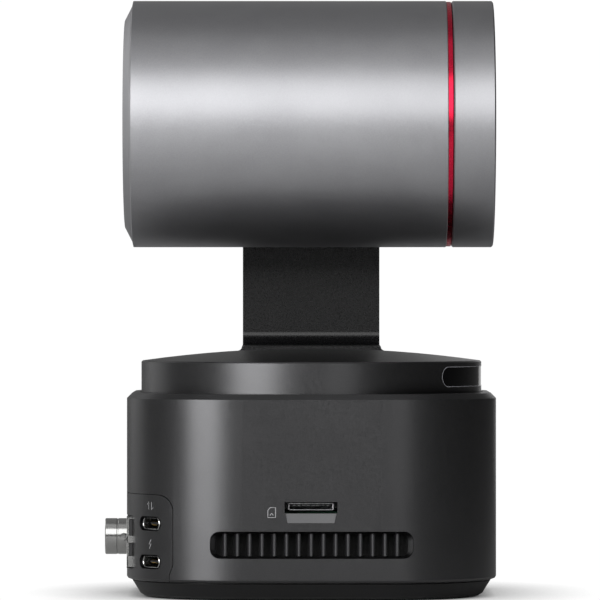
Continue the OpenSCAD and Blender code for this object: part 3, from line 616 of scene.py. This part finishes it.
def window_bead(run_points=61, end_points=17, round_points=8):
    """A flattened circle carried round the slot's edge; a distance s along it turns by s / TABLE_R."""
    half_run = (WINDOW_SWEEP - math.asin(WINDOW_END_R / TABLE_R)) * TABLE_R
    ends = np.linspace(-np.pi / 2, np.pi / 2, end_points)
    right_end = np.column_stack([half_run + WINDOW_R * np.cos(ends), WINDOW_R * np.sin(ends)])
    run = np.linspace(1, -1, run_points)[1:-1] * half_run
    across_top = np.column_stack([run, np.full(len(run), WINDOW_R)])
    edge = np.concatenate([right_end, across_top, -right_end, -across_top])
    step = np.roll(edge, -1, 0) - np.roll(edge, 1, 0)
    normal = np.column_stack([step[:, 1], -step[:, 0]]) / np.linalg.norm(step, axis=1)[:, None]
    t = np.linspace(0, 2 * np.pi, round_points, endpoint=False)
    flat = edge[:, None, :] + normal[:, None, :] * (BEAD_R * np.cos(t))[None, :, None]
    out = TABLE_R - BEAD_SUNK + BEAD_FLAT * BEAD_R * np.sin(t)[None, :]
    angle = flat[..., 0] / TABLE_R
    points = np.stack([out * np.cos(angle), out * np.sin(angle), WINDOW_Z + flat[..., 1]], axis=-1)
    return points, grid_faces(len(edge), round_points, close_rows=True, close_cols=True)


# The bead's pale grey is a painted highlight round the window's edge.
make_piece("window_painted_rim_highlight", [window_bead()], "window_acrylic", "turret", finish="painted_rim_highlight")

# %% [markdown]
# ## The arm's root
# The arm's foot lies on the turntable's domed top, and a small cove softens the corner
# between them. The cove's section is a quarter circle, hollow side out, carried along both
# sides of the foot and growing as the dome falls away.

# %% Coves along the foot
ARM_HALF = box["arm_shell"][1, 0]
APEX = box["turntable_shell"][1, 2]
RIM_Z, RIM_ROUND = 62.1, 0.35
FOOT_FRONT, FOOT_RISE, FOOT_SLOPE = 4.0, 0.4, 0.01
COVE_END, COVE_TALLEST, COVE_WIDEST, COVE_SHAPE = 40.0, 2.4, 2.2, 1.15
COVE_GAP, COVE_SUNK = 0.02, 0.05


def dome(distance):
    """Height of the turntable's top: it falls with the square of the distance from the middle."""
    return APEX - (APEX - RIM_Z) * (distance / (TABLE_R - RIM_ROUND)) ** 2


def foot_top(y):
    """Height of the foot's upper face, a slight straight rise from its front edge."""
    return APEX + FOOT_RISE + FOOT_SLOPE * (y - FOOT_FRONT)


def root_cove(side, run_points=48, arc_points=9):
    """Out by reach * (1 - sin t) and up by size * (1 - cos t), from the dome to the foot's top."""
    y = np.linspace(FOOT_FRONT, COVE_END, run_points)[:, None]
    step_up = foot_top(y) - COVE_GAP - dome(np.hypot(ARM_HALF, y))
    size = np.clip(step_up, COVE_GAP, COVE_TALLEST) * np.ones((1, arc_points))
    reach = np.minimum(size * COVE_SHAPE, COVE_WIDEST)
    turn = np.linspace(0, np.pi / 2, arc_points)[None, :]
    x = ARM_HALF + reach * (1 - np.sin(turn))
    ground = dome(np.hypot(x, y))
    face = np.stack([side * x, y + 0 * x, ground + size * (1 - np.cos(turn)) - 0.01], axis=-1)
    inner = np.stack([np.full_like(y, side * ARM_HALF), y, ground[:, -1:] - COVE_SUNK], axis=-1)
    outer = np.stack([side * x[:, :1], y, ground[:, :1] - COVE_SUNK], axis=-1)
    ring = np.concatenate([face, inner, outer], axis=1)
    count = ring.shape[1]
    caps = [(ring[k], [tuple(range(count))]) for k in (0, -1)]
    return [(ring, grid_faces(run_points, count, close_cols=True)), *caps]


make_piece("arm_root_cove", root_cove(-1) + root_cove(1), "arm_paint", "turret")

# %% [markdown]
# ## The bezel round the lens
# Behind the front glass, a black funnel leads to the lens. Its slope is cut into fine
# steps so that stray light is caught and doesn't reach the lens. It is a turned part, so
# half its section is drawn, with the steps as a saw wave, and carried round the axis.

# %% Stepped funnel
STEPS, FINE_TURNS = 7, 144
GLASS_BACK = box["front_bezel"][1, 0]
BEZEL_R = np.ptp(box["front_bezel"][:, 2]) / 2
RIM_FLAT, SLOPE_IN, SLOPE_DOWN = 1.4, 6.7, 1.8
BEZEL_DEEP, LIP_DEEP, LIP_R, LIP_HALF, LIP_TALL = 2.9, 1.5, 18.1, 0.5, 0.3
down = np.repeat(np.arange(STEPS + 1) / STEPS, 2)[1:-1]
along_slope = np.repeat(np.arange(STEPS + 1) / STEPS, 2)[:-2]
funnel_x = GLASS_BACK - SLOPE_DOWN * down
funnel_r = BEZEL_R - RIM_FLAT - SLOPE_IN * along_slope
turn = np.linspace(0, np.pi, 9)
lip_x, lip_r = GLASS_BACK - LIP_DEEP + LIP_TALL * np.sin(turn), LIP_R + LIP_HALF * np.cos(turn)
funnel = [(GLASS_BACK, BEZEL_R), (GLASS_BACK, BEZEL_R - RIM_FLAT), *zip(funnel_x, funnel_r),
          (GLASS_BACK - SLOPE_DOWN, BEZEL_R - RIM_FLAT - SLOPE_IN - 0.2), *zip(lip_x, lip_r),
          (GLASS_BACK - BEZEL_DEEP + 0.5, LIP_R - LIP_HALF), (GLASS_BACK - BEZEL_DEEP, LIP_R + 0.1),
          (GLASS_BACK - BEZEL_DEEP, BEZEL_R)]
make_piece("lens_funnel", [revolve(funnel + funnel[:1], (0, 0, TILT_Z), turns=FINE_TURNS)],
           "bezel_plastic", "front_module", replaces=["front_bezel"], smooth_deg=20)

# %% [markdown]
# ## The ring round the front lens
# A thin threaded retainer holds the lens in its barrel. What shows of it behind the glass
# is its rounded face, a quarter ellipse that turns in over the lens.

# %% Lens retainer
LENS_R = np.ptp(box["front_lens"][:, 2]) / 2
RETAINER_X = box["lens_barrel"][1, 0]
RETAINER_DEEP, RETAINER_OUT, NOSE_OUT, NOSE_WIDE, NOSE_TALL = 1.6, 0.9, 0.3, 0.9, 0.5
turn = np.linspace(0, np.pi / 2, 7)
nose = zip(RETAINER_X - NOSE_TALL + NOSE_TALL * np.cos(turn), LENS_R + NOSE_OUT - NOSE_WIDE * np.sin(turn))
retainer = [(RETAINER_X - RETAINER_DEEP, LENS_R + RETAINER_OUT), (RETAINER_X - 0.3, LENS_R + RETAINER_OUT),
            *nose, (RETAINER_X - RETAINER_DEEP, LENS_R + NOSE_OUT - NOSE_WIDE)]
make_piece("lens_retainer", [revolve(retainer + retainer[:1], (0, 0, TILT_Z), turns=FINE_TURNS)],
           "bezel_plastic", "front_module")

# %% [markdown]
# ## Camera
# A long lens, level with the middle of the camera, keeps the cylinder's ends flat.

# %% Camera
CAMERA_X, CAMERA_BACK, CAMERA_Z, AIM_Z = -3.06, 1650, 81.0, 78.3
camera_data = bpy.data.cameras.new("camera")
camera_data.sensor_width = 36
camera_data.lens = 368
camera_data.clip_start, camera_data.clip_end = 0.05, 50
camera = bpy.data.objects.new("camera", camera_data)
camera.location = (CAMERA_X * MM, -CAMERA_BACK * MM, CAMERA_Z * MM)
camera.rotation_euler = (math.radians(90) - math.atan2(CAMERA_Z - AIM_Z, CAMERA_BACK), 0, 0)
bpy.context.scene.collection.objects.link(camera)
bpy.context.scene.camera = camera
bpy.context.scene.view_settings.view_transform = "Standard"
print("camera", CAMERA_BACK, "mm away with a", camera_data.lens, "mm lens")

# %% [markdown]
# ## Light
# Satin metal shows a lamp as a band, so a lamp's direction says where its band lies and its
# size says how soft the band is. Lamps are placed by direction for that reason. The front
# one makes the head's band, the key the tall band at the base's corner, and the rest are
# dim, to keep the sides and the back from going black.

# %% Soft boxes placed by direction
def soft_box(name, azimuth, elevation, distance, width, height, radiance, target):
    """A rectangle of light that faces target. Its power is radiance times pi times its area, so
    radiance is how bright its mirror image looks, whatever its size. Azimuth 0 is the camera's side."""
    a, e = math.radians(azimuth), math.radians(elevation)
    back = np.array([math.sin(a) * math.cos(e), -math.cos(a) * math.cos(e), math.sin(e)])
    data = bpy.data.lights.new(name, "AREA")
    data.shape = "RECTANGLE"
    data.size, data.size_y = width, height
    data.energy = radiance * math.pi * width * height
    light = bpy.data.objects.new(name, data)
    light.location = np.array(target) + distance * back
    light.rotation_euler = (math.pi / 2 - e, 0, a)
    light.visible_camera = False
    bpy.context.scene.collection.objects.link(light)
    print(name, round(data.energy, 3), "W")


HEAD_SPOT, BASE_SPOT = (0, 0, 0.125), (0, 0, 0.03)
# Columns: azimuth, elevation, distance, width, height, radiance, target
soft_box("front_soft_box", 0, 24, 0.6, 0.7, 0.42, 2.3, HEAD_SPOT)
soft_box("top_soft_box", 0, 66, 0.6, 0.7, 0.4, 0.36, HEAD_SPOT)
soft_box("key_soft_box", -38, 12, 0.7, 0.38, 0.6, 6.5, BASE_SPOT)
soft_box("fill_soft_box", 20, 8, 0.8, 0.25, 0.5, 0.9, BASE_SPOT)
soft_box("back_left_soft_box", -128, 12, 0.9, 0.5, 0.6, 0.8, HEAD_SPOT)
soft_box("back_right_soft_box", 166, 5, 0.9, 0.3, 0.4, 0.6, BASE_SPOT)

# %% [markdown]
# ## Floor and surroundings
# The floor glows white to the camera, with a painted contact shadow: the glow is dimmed where something
# stands close over it.
# To everything else it is pale grey, so that it doesn't light the head from below as strongly as white paper
# would.
# The surroundings do the same: white to the camera, and to the metal a dim room that
# brightens towards one side.

# %% A floor that glows white to the camera, with a painted contact shadow
FLOOR_SIZE, PAINTED_SHADOW_REACH, WHITE = 12, 0.03, 1.02
bpy.ops.mesh.primitive_plane_add(size=FLOOR_SIZE, location=(0, 0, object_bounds()[0][2]))
floor = bpy.context.object
floor.name = "studio_floor"
floor_paint, tree, shader = new_material("pale_studio_floor")
shader.inputs["Base Color"].default_value = linear("#c4c4c4")
shader.inputs["Roughness"].default_value = 0.9
seen = add_node(tree, "ShaderNodeLightPath").outputs["Is Camera Ray"]
# Ambient occlusion dims the floor's white glow near the object: a painted contact shadow.
contact = add_node(tree, "ShaderNodeAmbientOcclusion",
                   {"Distance": PAINTED_SHADOW_REACH, "Color": (1, 1, 1, 1)}, samples=8)
white = add_node(tree, "ShaderNodeEmission", {"Color": contact.outputs["Color"], "Strength": WHITE})
output = next(n for n in tree.nodes if n.type == "OUTPUT_MATERIAL")
mixed = add_node(tree, "ShaderNodeMixShader",
                 {0: seen, 1: shader.outputs["BSDF"], 2: white.outputs["Emission"]})
tree.links.new(mixed.outputs["Shader"], output.inputs["Surface"])
floor.data.materials.append(floor_paint)

# %% A dim room with one brighter side
BRIGHT_SIDE = (-0.7, 0.35, 0.6)
ROOM_DARK, ROOM_BRIGHT = 0.02, 0.26
world = bpy.data.worlds.new("studio")
bpy.context.scene.world = world
world.use_nodes = True
tree = world.node_tree
backdrop = tree.nodes["Background"]
seen = add_node(tree, "ShaderNodeLightPath").outputs["Is Camera Ray"]
direction = add_node(tree, "ShaderNodeTexCoord").outputs["Generated"]
towards = add_node(tree, "ShaderNodeVectorMath", {0: direction, 1: BRIGHT_SIDE}, operation="DOT_PRODUCT")
around = add_node(tree, "ShaderNodeMapRange",
                  {"Value": towards.outputs["Value"], "From Min": -0.2, "From Max": 0.7,
                   "To Min": ROOM_DARK, "To Max": ROOM_BRIGHT})
strength = add_node(tree, "ShaderNodeMapRange",
                    {"Value": seen, "To Min": around.outputs["Result"], "To Max": WHITE})
backdrop.inputs["Color"].default_value = (1, 1, 1, 1)
tree.links.new(strength.outputs["Result"], backdrop.inputs["Strength"])
